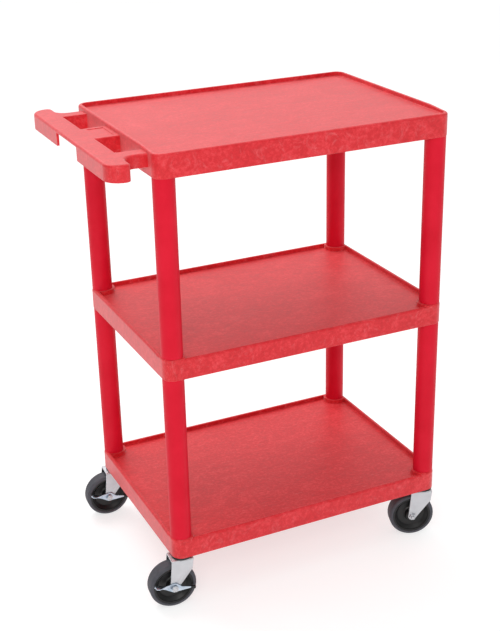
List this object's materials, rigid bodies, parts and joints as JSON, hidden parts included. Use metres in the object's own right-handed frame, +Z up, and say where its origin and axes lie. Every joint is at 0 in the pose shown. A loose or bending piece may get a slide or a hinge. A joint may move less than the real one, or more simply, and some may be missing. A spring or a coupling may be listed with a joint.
{
  "type": "book cart",
  "caption": "Moulded plastic utility cart with open lipped shelves on round legs, a push handle moulded into the top shelf, and swivel casters with side brakes at the handle end.",
  "frame": {"origin": "on the floor, under the middle of the outer box", "axes": "+Z up; X along the long side with the push handle at -X; -Y is the front, long side"},
  "size_m": [0.7399, 0.486, 0.989],
  "materials": {
    "shelf_plastic": "moulded structural foam, fine grain",
    "leg_plastic": "smooth extruded plastic, satin",
    "zinc_steel": "clear zinc plate",
    "pedal_steel": "bright zinc plate",
    "black_steel": "black",
    "ball_steel": "hard steel",
    "hub_plastic": "black moulded plastic",
    "tyre_rubber": "grey non-marking rubber",
    "tip_vinyl": "black dipped vinyl",
    "socket_plastic": "black plastic sleeve"
  },
  "bodies": {
    "root": {"top_shelf": "shelf_plastic", "middle_shelf": "shelf_plastic", "bottom_shelf": "shelf_plastic", "upper_leg_front_left": "leg_plastic", "lower_leg_front_left": "leg_plastic", "caster_stem_front_left": "zinc_steel", "stem_socket_front_left": "socket_plastic", "swivel_cap_front_left": "black_steel", "swivel_balls_front_left": "ball_steel", "upper_leg_front_right": "leg_plastic", "lower_leg_front_right": "leg_plastic", "caster_stem_front_right": "zinc_steel", "stem_socket_front_right": "socket_plastic", "swivel_cap_front_right": "black_steel", "swivel_balls_front_right": "ball_steel", "upper_leg_back_left": "leg_plastic", "lower_leg_back_left": "leg_plastic", "caster_stem_back_left": "zinc_steel", "stem_socket_back_left": "socket_plastic", "swivel_cap_back_left": "black_steel", "swivel_balls_back_left": "ball_steel", "upper_leg_back_right": "leg_plastic", "lower_leg_back_right": "leg_plastic", "caster_stem_back_right": "zinc_steel", "stem_socket_back_right": "socket_plastic", "swivel_cap_back_right": "black_steel", "swivel_balls_back_right": "ball_steel"},
    "swivel_front_left": {"fork_front_left": "zinc_steel", "axle_sleeve_front_left": "ball_steel", "axle_bolt_front_left": "zinc_steel", "axle_nut_front_left": "zinc_steel"},
    "wheel_front_left": {"tyre_front_left": "tyre_rubber", "wheel_hub_front_left": "hub_plastic"},
    "brake_front_left": {"brake_pedal_front_left": "pedal_steel", "pedal_tip_front_left": "tip_vinyl"},
    "swivel_front_right": {"fork_front_right": "zinc_steel", "axle_sleeve_front_right": "ball_steel", "axle_bolt_front_right": "zinc_steel", "axle_nut_front_right": "zinc_steel"},
    "wheel_front_right": {"tyre_front_right": "tyre_rubber", "wheel_hub_front_right": "hub_plastic"},
    "swivel_back_left": {"fork_back_left": "zinc_steel", "axle_sleeve_back_left": "ball_steel", "axle_bolt_back_left": "zinc_steel", "axle_nut_back_left": "zinc_steel"},
    "wheel_back_left": {"tyre_back_left": "tyre_rubber", "wheel_hub_back_left": "hub_plastic"},
    "brake_back_left": {"brake_pedal_back_left": "pedal_steel", "pedal_tip_back_left": "tip_vinyl"},
    "swivel_back_right": {"fork_back_right": "zinc_steel", "axle_sleeve_back_right": "ball_steel", "axle_bolt_back_right": "zinc_steel", "axle_nut_back_right": "zinc_steel"},
    "wheel_back_right": {"tyre_back_right": "tyre_rubber", "wheel_hub_back_right": "hub_plastic"}
  },
  "joints": [
    {"name": "swivel_turn_front_left", "type": "hinge", "parent": "root", "child": "swivel_front_left", "pos_m": [-0.25187, -0.2055, 0.11], "axis": [0, 0, 1], "continuous": true},
    {"name": "wheel_spin_front_left", "type": "hinge", "parent": "swivel_front_left", "child": "wheel_front_left", "pos_m": [-0.27675, -0.2031, 0.0508], "axis": [-0.0958, -0.9954, 0], "continuous": true},
    {"name": "brake_rock_front_left", "type": "hinge", "parent": "swivel_front_left", "child": "brake_front_left", "pos_m": [-0.27675, -0.2031, 0.0508], "axis": [-0.0958, -0.9954, 0], "range_deg": [0, 24]},
    {"name": "swivel_turn_front_right", "type": "hinge", "parent": "root", "child": "swivel_front_right", "pos_m": [0.34214, -0.2055, 0.11], "axis": [0, 0, 1], "continuous": true},
    {"name": "wheel_spin_front_right", "type": "hinge", "parent": "swivel_front_right", "child": "wheel_front_right", "pos_m": [0.3185, -0.19736, 0.0508], "axis": [-0.3256, -0.9455, 0], "continuous": true},
    {"name": "swivel_turn_back_left", "type": "hinge", "parent": "root", "child": "swivel_back_left", "pos_m": [-0.25187, 0.2055, 0.11], "axis": [0, 0, 1], "continuous": true},
    {"name": "wheel_spin_back_left", "type": "hinge", "parent": "swivel_back_left", "child": "wheel_back_left", "pos_m": [-0.27683, 0.20681, 0.0508], "axis": [-0.0523, -0.9986, 0], "continuous": true},
    {"name": "brake_rock_back_left", "type": "hinge", "parent": "swivel_back_left", "child": "brake_back_left", "pos_m": [-0.27683, 0.20681, 0.0508], "axis": [-0.0523, -0.9986, 0], "range_deg": [0, 24]},
    {"name": "swivel_turn_back_right", "type": "hinge", "parent": "root", "child": "swivel_back_right", "pos_m": [0.34214, 0.2055, 0.11], "axis": [0, 0, 1], "continuous": true},
    {"name": "wheel_spin_back_right", "type": "hinge", "parent": "swivel_back_right", "child": "wheel_back_right", "pos_m": [0.31768, 0.2107, 0.0508], "axis": [-0.2079, -0.9781, 0], "continuous": true}
  ]
}
